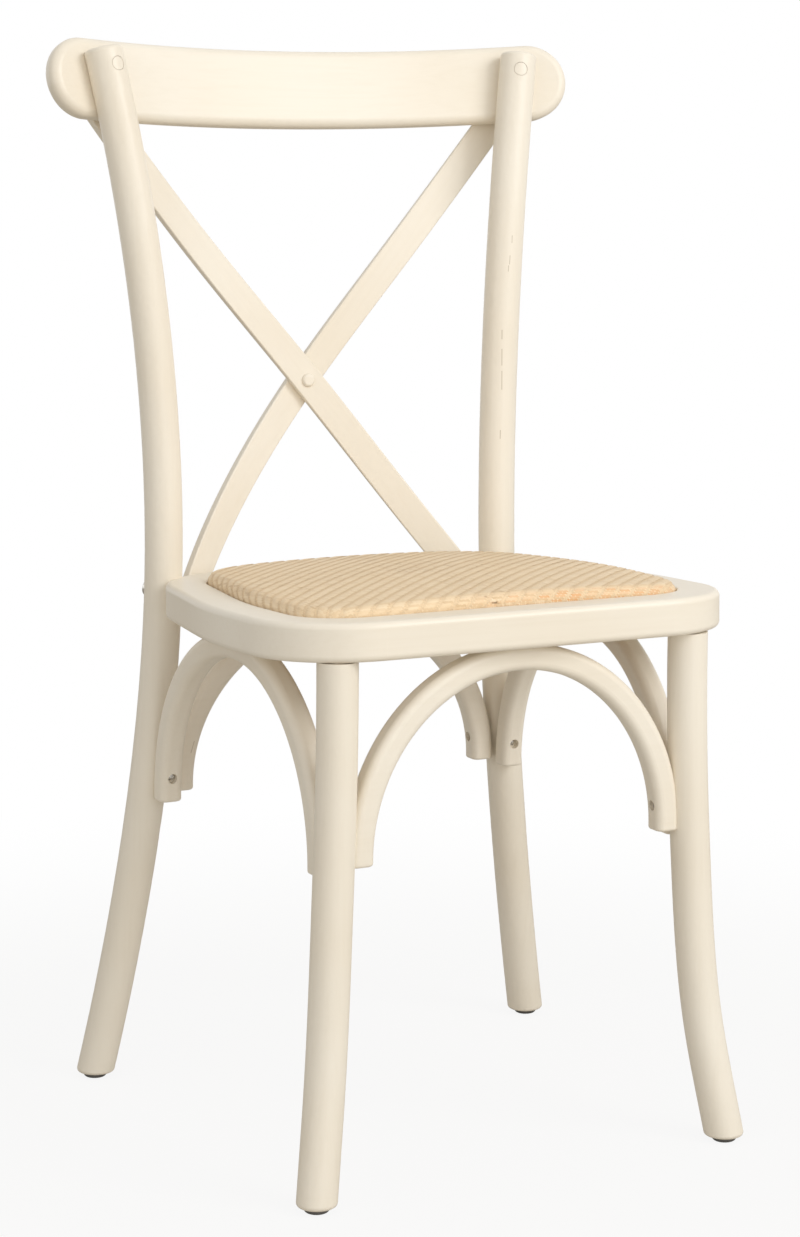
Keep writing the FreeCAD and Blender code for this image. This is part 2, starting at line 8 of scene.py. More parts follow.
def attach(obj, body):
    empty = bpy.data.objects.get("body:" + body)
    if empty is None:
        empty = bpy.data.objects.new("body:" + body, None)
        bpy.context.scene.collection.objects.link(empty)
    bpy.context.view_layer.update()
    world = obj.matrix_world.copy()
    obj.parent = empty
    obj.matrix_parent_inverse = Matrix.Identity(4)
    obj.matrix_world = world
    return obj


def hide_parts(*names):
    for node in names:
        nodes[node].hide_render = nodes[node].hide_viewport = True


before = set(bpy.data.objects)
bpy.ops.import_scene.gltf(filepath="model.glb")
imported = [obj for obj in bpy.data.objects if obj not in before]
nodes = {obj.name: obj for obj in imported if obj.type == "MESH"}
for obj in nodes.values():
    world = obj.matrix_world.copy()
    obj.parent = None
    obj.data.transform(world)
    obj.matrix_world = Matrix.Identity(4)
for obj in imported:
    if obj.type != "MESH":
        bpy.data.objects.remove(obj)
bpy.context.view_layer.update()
collection = bpy.context.scene.collection
print("frame loaded,", len(nodes), "nodes")


# Small helpers for node trees

def addNode(tree, kind, inputs=None, **settings):
    node = tree.nodes.new(kind)
    for key, value in settings.items():
        setattr(node, key, value)
    for key, value in (inputs or {}).items():
        if isinstance(value, bpy.types.NodeSocket):
            tree.links.new(value, node.inputs[key])
        else:
            node.inputs[key].default_value = value
    return node


def calc(tree, operation, first, second=0.0, third=0.0):
    node = addNode(tree, "ShaderNodeMath", {0: first, 1: second}, operation=operation)
    if operation in ("SMOOTH_MIN", "SMOOTH_MAX", "MULTIPLY_ADD"):
        node.inputs[2].default_value = third
    return node.outputs[0]


def calcVector(tree, operation, first, second=(0.0, 0.0, 0.0)):
    node = addNode(tree, "ShaderNodeVectorMath", {0: first, 1: second}, operation=operation)
    return node.outputs[0]


def rampColour(tree, factor, stops):
    node = addNode(tree, "ShaderNodeValToRGB", {"Fac": factor})
    elements = node.color_ramp.elements
    while len(elements) < len(stops):
        elements.new(0.5)
    for element, (place, colour) in zip(elements, stops):
        element.position = place
        element.color = (*colour, 1.0)
    return node.outputs["Color"]


def mixColour(tree, factor, first, second, blend="MIX"):
    node = addNode(tree, "ShaderNodeMix", data_type="RGBA", blend_type=blend)
    for key, value in ((0, factor), (6, first), (7, second)):
        if isinstance(value, bpy.types.NodeSocket):
            tree.links.new(value, node.inputs[key])
        elif key == 0:
            node.inputs[key].default_value = value
        else:
            node.inputs[key].default_value = (*value, 1.0)
    return node.outputs[2]


def newFinish(name, roughness, specular=0.5, metallic=0.0):
    material = bpy.data.materials.new(name)
    material.use_nodes = True
    tree = material.node_tree
    shader = tree.nodes["Principled BSDF"]
    shader.inputs["Roughness"].default_value = roughness
    shader.inputs["Specular IOR Level"].default_value = specular
    shader.inputs["Metallic"].default_value = metallic
    return material, tree, shader


# Cream paint over bent beech: a little grain shows through along each piece
paint = {
    "colour": (0.868, 0.797, 0.676),
    "pale": (0.895, 0.835, 0.725),
    "warm": (0.838, 0.755, 0.620),
    "streak": (0.900, 0.870, 0.815),
    "crack": (0.36, 0.27, 0.17),
    "roughness": 0.40,
    "grainAcross": 260.0,
    "grainAlong": 9.0,
    "grainShare": 0.16,
    "grainHeight": 0.03,
    "crackHalf": 0.00024,
    "slatLean": 38.7,
}

# Hairline cracks as lines seen from the front, and how far back their surface lies
paintCracks = {
    "back_post_right": (0.142, [((0.1717, 0.7225), (0.1712, 0.7164)), ((0.1689, 0.7051), (0.1681, 0.6977)),
                                ((0.1673, 0.6964), (0.1667, 0.6916)), ((0.1593, 0.6403), (0.1590, 0.6325)),
                                ((0.1587, 0.6237), (0.1582, 0.6096)), ((0.1581, 0.6044), (0.1576, 0.5885)),
                                ((0.1558, 0.5524), (0.1555, 0.5453))]),
    "rear_arch": (0.137, [((-0.1365, 0.2975), (-0.1396, 0.2878))]),
}


def crackLine(tree, place, start, end):
    # One within half a crack's width of a line, and falling off to nothing beside it
    first = Vector((start[0], 0.0, start[1]))
    run = Vector((end[0], 0.0, end[1])) - first
    flat = calcVector(tree, "MULTIPLY", place, (1.0, 0.0, 1.0))
    step = calcVector(tree, "DOT_PRODUCT", calcVector(tree, "SUBTRACT", flat, first), run).node.outputs["Value"]
    share = calc(tree, "DIVIDE", step, run.length_squared)
    share.node.use_clamp = True
    way = calcVector(tree, "SCALE", tuple(run))
    tree.links.new(share, way.node.inputs["Scale"])
    nearest = calcVector(tree, "ADD", way, first)
    off = calcVector(tree, "DISTANCE", flat, nearest).node.outputs["Value"]
    return addNode(tree, "ShaderNodeMapRange", {"Value": off, "From Min": paint["crackHalf"],
                                                "From Max": 2 * paint["crackHalf"],
                                                "To Min": 1.0, "To Max": 0.0}).outputs[0]


def paintedWood(name, along, lean=0.0, cracked=None):
    material, tree, shader = newFinish(name, paint["roughness"], 0.45)
    place = addNode(tree, "ShaderNodeTexCoord").outputs["Object"]
    leaned = addNode(tree, "ShaderNodeVectorRotate", {"Vector": place, "Angle": math.radians(lean)},
                     rotation_type="Y_AXIS").outputs[0]
    stretch = [paint["grainAcross"]] * 3
    stretch[along] = paint["grainAlong"]
    grainPlace = addNode(tree, "ShaderNodeMapping", {"Vector": leaned, "Scale": stretch}).outputs[0]
    grain = addNode(tree, "ShaderNodeTexNoise",
                    {"Vector": grainPlace, "Scale": 1.0, "Detail": 5.0, "Roughness": 0.6}).outputs[0]
    cloud = addNode(tree, "ShaderNodeTexNoise",
                    {"Vector": place, "Scale": 6.0, "Detail": 2.0, "Roughness": 0.5}).outputs[0]
    tone = rampColour(tree, cloud, [(0.25, paint["warm"]), (0.50, paint["colour"]), (0.75, paint["pale"])])
    streak = rampColour(tree, grain, [(0.30, paint["streak"]), (0.55, (1.0, 1.0, 1.0))])
    colour = mixColour(tree, paint["grainShare"], tone, streak, "MULTIPLY")
    gloss = addNode(tree, "ShaderNodeMapRange", {"Value": cloud, "From Min": 0.3, "From Max": 0.7,
                                                 "To Min": paint["roughness"] - 0.05,
                                                 "To Max": paint["roughness"] + 0.06}).outputs[0]
    tree.links.new(gloss, shader.inputs["Roughness"])
    height = calc(tree, "MULTIPLY", grain, 0.6)
    if cracked:
        depthLimit, lines = paintCracks[cracked]
        marks = [crackLine(tree, place, start, end) for start, end in lines]
        mask = marks[0]
        for mark in marks[1:]:
            mask = calc(tree, "MAXIMUM", mask, mark)
        depth = addNode(tree, "ShaderNodeSeparateXYZ", {0: place}).outputs[1]
        mask = calc(tree, "MULTIPLY", mask, calc(tree, "LESS_THAN", depth, depthLimit))
        colour = mixColour(tree, calc(tree, "MULTIPLY", mask, 0.50), colour, paint["crack"])
        height = calc(tree, "SUBTRACT", height, calc(tree, "MULTIPLY", mask, 2.0))
    tree.links.new(colour, shader.inputs["Base Color"])
    bump = addNode(tree, "ShaderNodeBump", {"Height": height, "Strength": paint["grainHeight"],
                                            "Distance": 0.001})
    tree.links.new(bump.outputs[0], shader.inputs["Normal"])
    return material


# Woven rattan core
rattan = {
    "deep": (0.740, 0.540, 0.320),
    "straw": (0.860, 0.665, 0.430),
    "pale": (0.915, 0.745, 0.520),
    # foldShade is painted shade: the warm dark colour laid on weft floats where they turn down over the front edge
    "foldShade": (0.760, 0.400, 0.170),
    "roughness": 0.50,
    "fibreAlong": 60.0,
    "fibreAcross": 2600.0,
}


def wovenRattan(name):
    material, tree, shader = newFinish(name, rattan["roughness"], 0.4)
    tone = addNode(tree, "ShaderNodeAttribute", attribute_name="strandTone").outputs["Fac"]
    # Share of painted shade, stored by the weave where floats turn down over the front edge
    edge = addNode(tree, "ShaderNodeAttribute", attribute_name="foldShadeShare").outputs["Fac"]
    flow = addNode(tree, "ShaderNodeAttribute", attribute_name="strandFlow").outputs["Vector"]
    fibrePlace = addNode(tree, "ShaderNodeMapping",
                         {"Vector": flow, "Scale": (rattan["fibreAlong"], rattan["fibreAcross"], 1.0)}).outputs[0]
    fibre = addNode(tree, "ShaderNodeTexNoise",
                    {"Vector": fibrePlace, "Scale": 1.0, "Detail": 3.0, "Roughness": 0.6}).outputs[0]
    colour = rampColour(tree, tone, [(0.0, rattan["deep"]), (0.35, rattan["straw"]), (1.0, rattan["pale"])])
    streak = rampColour(tree, fibre, [(0.30, (0.90, 0.87, 0.82)), (0.55, (1.0, 1.0, 1.0)),
                                      (0.80, (1.06, 1.05, 1.03))])
    colour = mixColour(tree, 0.8, colour, streak, "MULTIPLY")
    # Painted shade: mix towards the warm dark colour where the floats turn down over the front edge
    colour = mixColour(tree, edge, colour, rattan["foldShade"])
    tree.links.new(colour, shader.inputs["Base Color"])
    bump = addNode(tree, "ShaderNodeBump", {"Height": fibre, "Strength": 0.25, "Distance": 0.0004})
    tree.links.new(bump.outputs[0], shader.inputs["Normal"])
    return material


def plainFinish(name, colour, roughness, grainScale, spread, metallic=0.0, specular=0.5):
    material, tree, shader = newFinish(name, roughness, specular, metallic)
    place = addNode(tree, "ShaderNodeTexCoord").outputs["Object"]
    grain = addNode(tree, "ShaderNodeTexNoise",
                    {"Vector": place, "Scale": grainScale, "Detail": 4.0, "Roughness": 0.6}).outputs[0]
    dark = tuple(channel * (1 - spread) for channel in colour)
    light = tuple(min(1.0, channel * (1 + spread)) for channel in colour)
    tree.links.new(rampColour(tree, grain, [(0.3, dark), (0.7, light)]), shader.inputs["Base Color"])
    bump = addNode(tree, "ShaderNodeBump", {"Height": grain, "Strength": 0.15, "Distance": 0.0003})
    tree.links.new(bump.outputs[0], shader.inputs["Normal"])
    return material


uprightPaint = paintedWood("creamPaintUpright", 2)
acrossPaint = paintedWood("creamPaintAcross", 0)
depthPaint = paintedWood("creamPaintDepth", 1)
frontSlatPaint = paintedWood("creamPaintFrontSlat", 2, paint["slatLean"])
rearSlatPaint = paintedWood("creamPaintRearSlat", 2, -paint["slatLean"])
crackedPostPaint = paintedWood("creamPaintCrackedPost", 2, cracked="back_post_right")
crackedArchPaint = paintedWood("creamPaintCrackedArch", 0, cracked="rear_arch")
rattanWeave = wovenRattan("rattanWeave")
rattanShade = plainFinish("rattanShade", (0.820, 0.625, 0.400), 0.8, 900.0, 0.12)
plyFinish = plainFinish("seatPlywood", (0.50, 0.34, 0.19), 0.7, 220.0, 0.18)
zincFinish = plainFinish("zincPlate", (0.62, 0.60, 0.56), 0.32, 800.0, 0.08, 1.0)
glideFinish = plainFinish("glidePlastic", (0.130, 0.125, 0.118), 0.50, 1200.0, 0.25)
print("finishes made")


def paintNode(name, material):
    mesh = nodes[name].data
    if not mesh.materials:
        mesh.materials.append(material)
    for index in range(len(mesh.materials)):
        mesh.materials[index] = material


nodeFinishes = {
    "back_post_right": crackedPostPaint, "back_post_left": uprightPaint, "rear_arch": crackedArchPaint,
    "cross_slat_front": frontSlatPaint, "cross_slat_rear": rearSlatPaint, "front_leg": uprightPaint,
    "crest_plug": uprightPaint,
    "front_arch": acrossPaint, "left_arch": depthPaint, "right_arch": depthPaint,
    "crest_rail": acrossPaint, "seat_ring": acrossPaint, "cross_stud": uprightPaint,
    "seat_board": plyFinish, "seat_foam": rattanShade, "rattan_cover": rattanShade, "glide": glideFinish,
    "board_screws": zincFinish, "arch_screws": zincFinish, "slat_foot_screws": zincFinish,
    "slat_top_screws": zincFinish, "crest_bolt": zincFinish, "crest_nuts": zincFinish,
    "seat_bolt": zincFinish, "seat_inserts": zincFinish,
}
for nodeName in nodes:
    for start, finish in nodeFinishes.items():
        if nodeName.startswith(start):
            paintNode(nodeName, finish)
    if nodeName.endswith("_screws"):
        paintNode(nodeName, zincFinish)
print("CAD nodes painted")


# The pad: a crowned form with a rounded shoulder, in the seat ring's rebate
pad = {
    "frontHalf": 0.2035, "front": -0.190, "frontCorner": 0.078,
    "sideHalf": 0.205, "sideDepth": -0.030, "sideBend": 0.400,
    "backHalf": 0.166, "back": 0.181, "backCorner": 0.095,
    "inset": 0.0346,
    "bottom": 0.022, "ringTop": 0.030, "crown": 0.015, "crownRadius": 2.6,
    "shoulder": 0.009,
    "underFrontHeight": 0.421, "rake": 1.8, "depthShift": -0.025099,
    "weaveThickness": 0.0013,
    "rimSteps": 9, "sideSteps": 3, "domeRings": 16, "cornerSteps": 14, "runSteps": 10,
}


def padRim():
    # Points and outward directions along the pad's edge, seen from above
    corners = [(pad["frontHalf"], pad["front"], pad["frontCorner"]),
               (pad["sideHalf"], pad["sideDepth"], pad["sideBend"]),
               (pad["backHalf"], pad["back"], pad["backCorner"])]
    corners += [(-x, y, radius) for x, y, radius in reversed(corners)]
    arcs = []
    for index, (x, y, radius) in enumerate(corners):
        here = Vector((x, y))
        before = (Vector(corners[index - 1][:2]) - here).normalized()
        after = (Vector(corners[(index + 1) % len(corners)][:2]) - here).normalized()
        half = before.angle(after) / 2
        middle = here + (before + after).normalized() * (radius / math.sin(half))
        first = here + before * (radius / math.tan(half)) - middle
        turn = math.pi - 2 * half
        arcs.append((middle, first, turn, radius))
    rim = []
    for index, (middle, first, turn, radius) in enumerate(arcs):
        inner = radius - pad["inset"]
        for step in range(pad["cornerSteps"] + 1):
            spoke = Matrix.Rotation(turn * step / pad["cornerSteps"], 2) @ first.normalized()
            rim.append((middle + spoke * inner, spoke))
        nextMiddle, nextFirst, _, nextRadius = arcs[(index + 1) % len(arcs)]
        end = nextMiddle + nextFirst.normalized() * (nextRadius - pad["inset"])
        start, spoke = rim[-1]
        for step in range(1, pad["runSteps"]):
            rim.append((start.lerp(end, step / pad["runSteps"]), spoke))
    return rim


def toSeat(point):
    # From the seat frame, whose zero height is the ring's underside at the front, to the chair
    lean = math.radians(-pad["rake"])
    depth = point.y - pad["front"]
    y = pad["front"] + depth * math.cos(lean) - point.z * math.sin(lean)
    z = depth * math.sin(lean) + point.z * math.cos(lean)
    return Vector((point.x, y + pad["depthShift"], z + pad["underFrontHeight"]))


def domeHeight(x, y, drop):
    middle = (pad["front"] + pad["back"]) / 2
    return pad["ringTop"] + pad["crown"] - drop - (x * x + (y - middle) ** 2) / (2 * pad["crownRadius"])


def buildPadForm(name, drop, closed):
    # drop is how far the form lies inside the pad's outer skin
    rim = padRim()
    count = len(rim)
    middle = Vector((0.0, (pad["front"] + pad["back"]) / 2))
    round_ = pad["shoulder"] - drop
    rings = []
    for step in range(1, pad["domeRings"] + 1):
        ring = []
        for point, spoke in rim:
            edge = point - spoke * (drop + round_)
            plan = middle.lerp(edge, step / pad["domeRings"])
            ring.append((Vector((plan.x, plan.y, domeHeight(plan.x, plan.y, drop))), plan))
        rings.append(ring)
    for step in range(1, pad["rimSteps"] + 1):
        turn = math.pi / 2 * step / pad["rimSteps"]
        ring = []
        for point, spoke in rim:
            edge = point - spoke * (drop + round_)
            plan = edge + spoke * (round_ * math.sin(turn))
            height = domeHeight(edge.x, edge.y, drop) - round_ * (1 - math.cos(turn))
            ring.append((Vector((plan.x, plan.y, height)), edge + spoke * (round_ * turn)))
        rings.append(ring)
    for step in range(1, pad["sideSteps"] + 1):
        ring = []
        for (point, spoke), (last, flat) in zip(rim, rings[pad["domeRings"] + pad["rimSteps"] - 1]):
            fall = (last.z - pad["bottom"]) * step / pad["sideSteps"]
            ring.append((Vector((last.x, last.y, last.z - fall)), flat + spoke * fall))
        rings.append(ring)
    mesh = bpy.data.meshes.new(name)
    bm = bmesh.new()
    flatMap = bm.loops.layers.uv.new("flat")
    flats = {}
    centre = bm.verts.new(toSeat(Vector((middle.x, middle.y, domeHeight(middle.x, middle.y, drop)))))
    flats[centre] = middle
    grid = []
    for ring in rings:
        row = []
        for place, flat in ring:
            vertex = bm.verts.new(toSeat(place))
            flats[vertex] = flat
            row.append(vertex)
        grid.append(row)
    for index in range(count):
        following = (index + 1) % count
        bm.faces.new((centre, grid[0][index], grid[0][following]))
        for inner, outer in zip(grid, grid[1:]):
            bm.faces.new((inner[index], outer[index], outer[following], inner[following]))
    if closed:
        bm.faces.new(list(reversed(grid[-1])))
    for face in bm.faces:
        face.smooth = True
        for loop in face.loops:
            flat = flats[loop.vert]
            loop[flatMap].uv = (flat.x + 0.5, flat.y + 0.5)
    bm.normal_update()
    bmesh.ops.recalc_face_normals(bm, faces=bm.faces)
    bm.to_mesh(mesh)
    bm.free()
    shape = bpy.data.objects.new(name, mesh)
    collection.objects.link(shape)
    return shape


# The weave: twill of fine strands, each float over four strands and then under four
weave = {
    "pitch": 0.0018, "widthShare": 0.97, "tuck": 1.2, "over": 4.0, "tipStart": -0.3,
    "rise": 0.00022, "dive": 0.00008, "arch": 0.00010, "lift": 0.0002,
    "halfColumns": 108, "halfRows": 100, "stepsAlong": 5, "stepsAcross": 3,
    "seed": 7,
    # The last four place the painted shade on the front edge: how steep the surface is, and how far across
    "edgeFrom": 0.40, "edgeTo": 0.80, "edgeLeft": -0.06, "edgeRight": 0.05,
}


def weaveTree():
    tree = bpy.data.node_groups.new("rattanTwill", "GeometryNodeTree")
    sockets = (("Geometry", "NodeSocketGeometry"), ("Pitch", "NodeSocketFloat"), ("Width", "NodeSocketFloat"),
               ("Tuck", "NodeSocketFloat"), ("Over", "NodeSocketFloat"), ("Tip Start", "NodeSocketFloat"),
               ("Rise", "NodeSocketFloat"), ("Dive", "NodeSocketFloat"), ("Arch", "NodeSocketFloat"),
               ("Lift", "NodeSocketFloat"), ("Columns", "NodeSocketInt"), ("Rows", "NodeSocketInt"),
               ("Finish", "NodeSocketMaterial"))
    for label, kind in sockets:
        tree.interface.new_socket(name=label, in_out="INPUT", socket_type=kind)
    tree.interface.new_socket(name="Geometry", in_out="OUTPUT", socket_type="NodeSocketGeometry")
    given = addNode(tree, "NodeGroupInput").outputs
    pitch = given["Pitch"]
    over = given["Over"]

    # One float, flat on top, its ends tucked under their neighbours
    half = calc(tree, "MULTIPLY", calc(tree, "ADD", over, given["Tuck"]), calc(tree, "MULTIPLY", pitch, 0.5))
    bend = calc(tree, "MULTIPLY", calc(tree, "SUBTRACT", over, given["Tip Start"]),
                calc(tree, "MULTIPLY", pitch, 0.5))
    strip = addNode(tree, "GeometryNodeMeshGrid",
                    {"Size X": 2.0, "Size Y": given["Width"], "Vertices X": weave["stepsAlong"],
                     "Vertices Y": weave["stepsAcross"]})
    place = addNode(tree, "ShaderNodeSeparateXYZ", {0: addNode(tree, "GeometryNodeInputPosition").outputs[0]})
    outward = calc(tree, "ABSOLUTE", place.outputs[0])
    beyond = addNode(tree, "ShaderNodeMapRange", {"Value": outward, "From Min": 0.5, "From Max": 1.0}).outputs[0]
    inside = addNode(tree, "ShaderNodeMapRange", {"Value": outward, "From Min": 0.0, "From Max": 0.5}).outputs[0]
    reach = calc(tree, "ADD", calc(tree, "MULTIPLY", inside, bend),
                 calc(tree, "MULTIPLY", beyond, calc(tree, "SUBTRACT", half, bend)))
    along = calc(tree, "MULTIPLY", calc(tree, "SIGN", place.outputs[0]), reach)
    fall = calc(tree, "MULTIPLY", beyond, calc(tree, "ADD", given["Rise"], given["Dive"]))
    share = calc(tree, "DIVIDE", calc(tree, "MULTIPLY", place.outputs[1], 2.0), given["Width"])
    bow = calc(tree, "MULTIPLY", calc(tree, "MULTIPLY", share, share), given["Arch"])
    height = calc(tree, "SUBTRACT", calc(tree, "SUBTRACT", given["Rise"], fall), bow)
    lifted = addNode(tree, "ShaderNodeCombineXYZ", {0: along, 1: place.outputs[1], 2: height}).outputs[0]
    arched = addNode(tree, "GeometryNodeSetPosition", {"Geometry": strip.outputs[0], "Position": lifted})
    flow = addNode(tree, "GeometryNodeStoreNamedAttribute",
                   {"Geometry": arched.outputs[0], "Name": "strandFlow", "Value": lifted},
                   data_type="FLOAT_VECTOR", domain="POINT").outputs[0]

    # The crossings, and the first crossing of each float
    spanX = calc(tree, "MULTIPLY", calc(tree, "SUBTRACT", given["Columns"], 1.0), pitch)
    spanY = calc(tree, "MULTIPLY", calc(tree, "SUBTRACT", given["Rows"], 1.0), pitch)
    lattice = addNode(tree, "GeometryNodeMeshGrid", {"Size X": spanX, "Size Y": spanY, "Vertices X": given["Columns"],
                                                     "Vertices Y": given["Rows"]}).outputs[0]
    spot = addNode(tree, "GeometryNodeInputPosition").outputs[0]
    cell = addNode(tree, "ShaderNodeSeparateXYZ", {0: spot})
    column = calc(tree, "ROUND", calc(tree, "DIVIDE", cell.outputs[0], pitch))
    row = calc(tree, "ROUND", calc(tree, "DIVIDE", cell.outputs[1], pitch))
    phase = calc(tree, "FLOORED_MODULO", calc(tree, "SUBTRACT", column, row), calc(tree, "MULTIPLY", over, 2.0))
    floats = []
    centre = calc(tree, "MULTIPLY", pitch, calc(tree, "MULTIPLY", calc(tree, "SUBTRACT", over, 1.0), 0.5))
    lastPhase = calc(tree, "SUBTRACT", calc(tree, "MULTIPLY", over, 2.0), 1.0)
    for axis, first, strand, turn, picked in ((0, 0.0, row, 0.0, 1.0), (1, lastPhase, column, math.pi / 2, 0.0)):
        chosen = addNode(tree, "FunctionNodeCompare", {0: phase, 1: first, 12: 0.1},
                         data_type="FLOAT", operation="EQUAL").outputs[0]
        offset = addNode(tree, "ShaderNodeCombineXYZ", {axis: centre}).outputs[0]
        moved = addNode(tree, "GeometryNodeSetPosition", {"Geometry": lattice, "Offset": offset}).outputs[0]
        placed = addNode(tree, "GeometryNodeInstanceOnPoints",
                         {"Points": moved, "Selection": chosen, "Instance": flow,
                          "Rotation": (0.0, 0.0, turn)})
        strandRandom = addNode(tree, "FunctionNodeRandomValue", {"ID": strand, "Seed": weave["seed"]},
                               data_type="FLOAT").outputs[1]
        pieceRandom = addNode(tree, "FunctionNodeRandomValue", {"Seed": weave["seed"] + 5},
                              data_type="FLOAT").outputs[1]
        tone = calc(tree, "ADD", calc(tree, "MULTIPLY", strandRandom, 0.55), calc(tree, "MULTIPLY", pieceRandom, 0.45))
        # The last value is each weft float's random share of the painted shade at the front edge; warp floats get none
        floats.append((moved, placed, tone, calc(tree, "MULTIPLY", pieceRandom, picked)))
    joined = addNode(tree, "GeometryNodeJoinGeometry")
    for moved, placed, tone, pick in floats:
        for label, value in (("strandTone", tone), ("foldShadePick", pick)):
            moved = addNode(tree, "GeometryNodeStoreNamedAttribute",
                            {"Geometry": moved, "Name": label, "Value": value},
                            data_type="FLOAT", domain="POINT").outputs[0]
        tree.links.new(moved, placed.inputs["Points"])
        tree.links.new(placed.outputs[0], joined.inputs[0])
    solid = addNode(tree, "GeometryNodeRealizeInstances", {"Geometry": joined.outputs[0]}).outputs[0]

    # From the flat cloth onto the pad
    flat = addNode(tree, "ShaderNodeSeparateXYZ", {0: addNode(tree, "GeometryNodeInputPosition").outputs[0]})
    atU = calc(tree, "ADD", flat.outputs[0], 0.5)
    atV = calc(tree, "ADD", flat.outputs[1], 0.5)
    spotUv = addNode(tree, "ShaderNodeCombineXYZ", {0: atU, 1: atV}).outputs[0]
    flatMap = addNode(tree, "GeometryNodeInputNamedAttribute", {"Name": "flat"}, data_type="FLOAT_VECTOR").outputs[0]
    samples = []
    for source in ("GeometryNodeInputPosition", "GeometryNodeInputNormal"):
        value = addNode(tree, source).outputs[0]
        samples.append(addNode(tree, "GeometryNodeSampleUVSurface",
                               {"Mesh": given["Geometry"], "Value": value, "Source UV Map": flatMap,
                                "Sample UV": spotUv}, data_type="FLOAT_VECTOR"))
    raised = calcVector(tree, "SCALE", samples[1].outputs[0])
    tree.links.new(calc(tree, "ADD", flat.outputs[2], given["Lift"]), raised.node.inputs["Scale"])
    onPad = calcVector(tree, "ADD", samples[0].outputs[0], raised)
    # Painted shade: warm orange-brown darkening on weft floats where they turn down over the front edge, from the
    # middle to the right
    facing = addNode(tree, "ShaderNodeSeparateXYZ", {0: samples[1].outputs[0]}).outputs[1]
    steep = addNode(tree, "ShaderNodeMapRange", {"Value": calc(tree, "MULTIPLY", facing, -1.0),
                                                 "From Min": weave["edgeFrom"], "From Max": weave["edgeTo"]})
    sideways = addNode(tree, "ShaderNodeMapRange", {"Value": flat.outputs[0], "From Min": weave["edgeLeft"],
                                                    "From Max": weave["edgeRight"]})
    pick = addNode(tree, "GeometryNodeInputNamedAttribute", {"Name": "foldShadePick"}, data_type="FLOAT").outputs[0]
    # Painted shade: steepness of the front edge, times the ramp from the middle to the right, times each float's pick
    edge = calc(tree, "MULTIPLY", calc(tree, "MULTIPLY", steep.outputs[0], sideways.outputs[0]), pick)
    marked = addNode(tree, "GeometryNodeStoreNamedAttribute",
                     {"Geometry": solid, "Name": "foldShadeShare", "Value": edge}, data_type="FLOAT", domain="POINT")
    outside = addNode(tree, "FunctionNodeBooleanMath", {0: samples[0].outputs[1]}, operation="NOT").outputs[0]
    kept = addNode(tree, "GeometryNodeDeleteGeometry", {"Geometry": marked.outputs[0], "Selection": outside},
                   domain="POINT")
    draped = addNode(tree, "GeometryNodeSetPosition", {"Geometry": kept.outputs[0], "Position": onPad}).outputs[0]
    smooth = addNode(tree, "GeometryNodeSetShadeSmooth", {"Geometry": draped}).outputs[0]
    painted = addNode(tree, "GeometryNodeSetMaterial", {"Geometry": smooth, "Material": given["Finish"]}).outputs[0]
    addNode(tree, "NodeGroupOutput", {"Geometry": painted})
    return tree


def runTree(piece, tree, values):
    modifier = piece.modifiers.new(tree.name, "NODES")
    modifier.node_group = tree
    for item in tree.interface.items_tree:
        if item.in_out == "INPUT" and item.name in values:
            modifier[item.identifier] = values[item.name]
    bpy.context.view_layer.update()
    evaluated = piece.evaluated_get(bpy.context.evaluated_depsgraph_get())
    mesh = bpy.data.meshes.new_from_object(evaluated, preserve_all_data_layers=True,
                                           depsgraph=bpy.context.evaluated_depsgraph_get())
    piece.modifiers.remove(modifier)
    old = piece.data
    piece.data = mesh
    bpy.data.meshes.remove(old)
    return piece


seatPad = buildPadForm("seatPad", pad["weaveThickness"] - 0.0004, True)
seatPad.data.materials.append(rattanShade)
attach(seatPad, "root")
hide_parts("seat_foam")

rattanSeat = buildPadForm("rattanSeat", pad["weaveThickness"] - 0.0005, False)
weaveValues = {
    "Pitch": weave["pitch"], "Width": weave["pitch"] * weave["widthShare"], "Tuck": weave["tuck"],
    "Over": weave["over"], "Tip Start": weave["tipStart"],
    "Rise": weave["rise"], "Dive": weave["dive"], "Arch": weave["arch"], "Lift": weave["lift"],
    "Columns": 2 * weave["halfColumns"] + 1, "Rows": 2 * weave["halfRows"] + 1, "Finish": rattanWeave,
}
runTree(rattanSeat, weaveTree(), weaveValues)
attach(rattanSeat, "root")
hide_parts("rattan_cover")
print("seat woven,", len(rattanSeat.data.polygons), "faces")


# Fasteners: one tree makes a head with its recess on a shank, and the node's own solids say where it goes
fastener = {
    "segments": 28, "slotLength": 0.0046, "slotWidth": 0.00085, "slotDepth": 0.0014,
    "hexRadius": 0.0026, "hexDepth": 0.0022, "edge": 0.0006, "domeShare": 0.6,
    "screwHead": (0.0036, 0.0024), "screwShank": 0.0019,
    "boltHead": (0.0065, 0.0040), "boltShank": 0.0030,
    "nutHead": (0.0070, 0.0020), "nutShank": 0.0045,
    "endSlack": 0.00004, "seed": 3,
}


